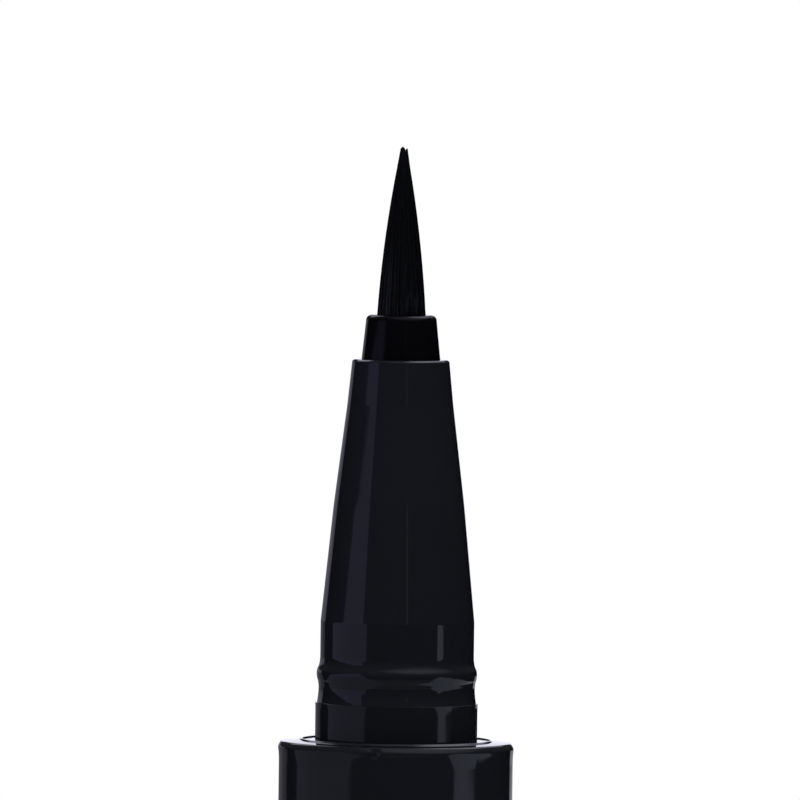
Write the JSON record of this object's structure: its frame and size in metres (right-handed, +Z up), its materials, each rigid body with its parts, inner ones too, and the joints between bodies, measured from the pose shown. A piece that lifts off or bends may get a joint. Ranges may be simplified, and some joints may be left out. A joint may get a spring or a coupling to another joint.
{
  "type": "liquid eyeliner pen",
  "caption": "Slim round eyeliner pen standing on its tail, with a pointed bristle brush in a tapered nozzle, an ink feed inside the barrel and its push-on cap standing beside it.",
  "frame": {"origin": "centre of the flat tail face that the pen stands on", "axes": "+Z up along the pen towards the brush tip, +X towards the cap that stands beside it, -Y towards the picture's viewer"},
  "size_m": [0.0324, 0.0104, 0.1185],
  "materials": {
    "barrel": "high-gloss black",
    "tail_plug": "high-gloss black",
    "ink_tank": "natural translucent moulding",
    "mixing_ball": "polished steel",
    "tank_plug": "natural white moulding",
    "tank_seal_ring": "matt black rubber",
    "collector_housing": "high-gloss black",
    "collector": "natural white moulding, ink-stained",
    "feed_core": "bonded fibre soaked with black ink",
    "relay_bush": "natural white moulding",
    "nozzle": "high-gloss black",
    "brush_holder": "satin black",
    "bristle_tuft": "black synthetic filaments, ink-wet",
    "ink_pipe": "natural moulding",
    "cap_shell": "high-gloss black",
    "cap_liner": "satin black moulding",
    "inner_cap": "natural white moulding",
    "inner_cap_spring": "drawn spring wire"
  },
  "bodies": {
    "pen": {"barrel": "barrel", "tail_plug": "tail_plug", "ink_tank": "ink_tank", "tank_plug": "tank_plug", "tank_seal_ring": "tank_seal_ring", "collector_housing": "collector_housing", "collector": "collector", "feed_core": "feed_core", "relay_bush": "relay_bush", "nozzle": "nozzle", "brush_holder": "brush_holder", "bristle_tuft": "bristle_tuft", "ink_pipe": "ink_pipe"},
    "ball": {"mixing_ball": "mixing_ball"},
    "cap": {"cap_shell": "cap_shell", "cap_liner": "cap_liner", "inner_cap_spring": "inner_cap_spring"},
    "sealing_cup": {"inner_cap": "inner_cap"}
  },
  "joints": [
    {"name": "mixing_ball_shake", "type": "slide", "parent": "pen", "child": "ball", "axis": [0, 0, 1], "range_m": [0, 0.0435]},
    {"name": "cap_lift", "type": "slide", "parent": "pen", "child": "cap", "axis": [0, 0, 1], "range_m": [0, 0.12]},
    {"name": "inner_cap_slide", "type": "slide", "parent": "cap", "child": "sealing_cup", "axis": [0, 0, 1], "range_m": [0, 0.0025], "stiffness_N_per_m": 80, "springref_m": -0.003, "deforming": ["inner_cap_spring"]}
  ]
}
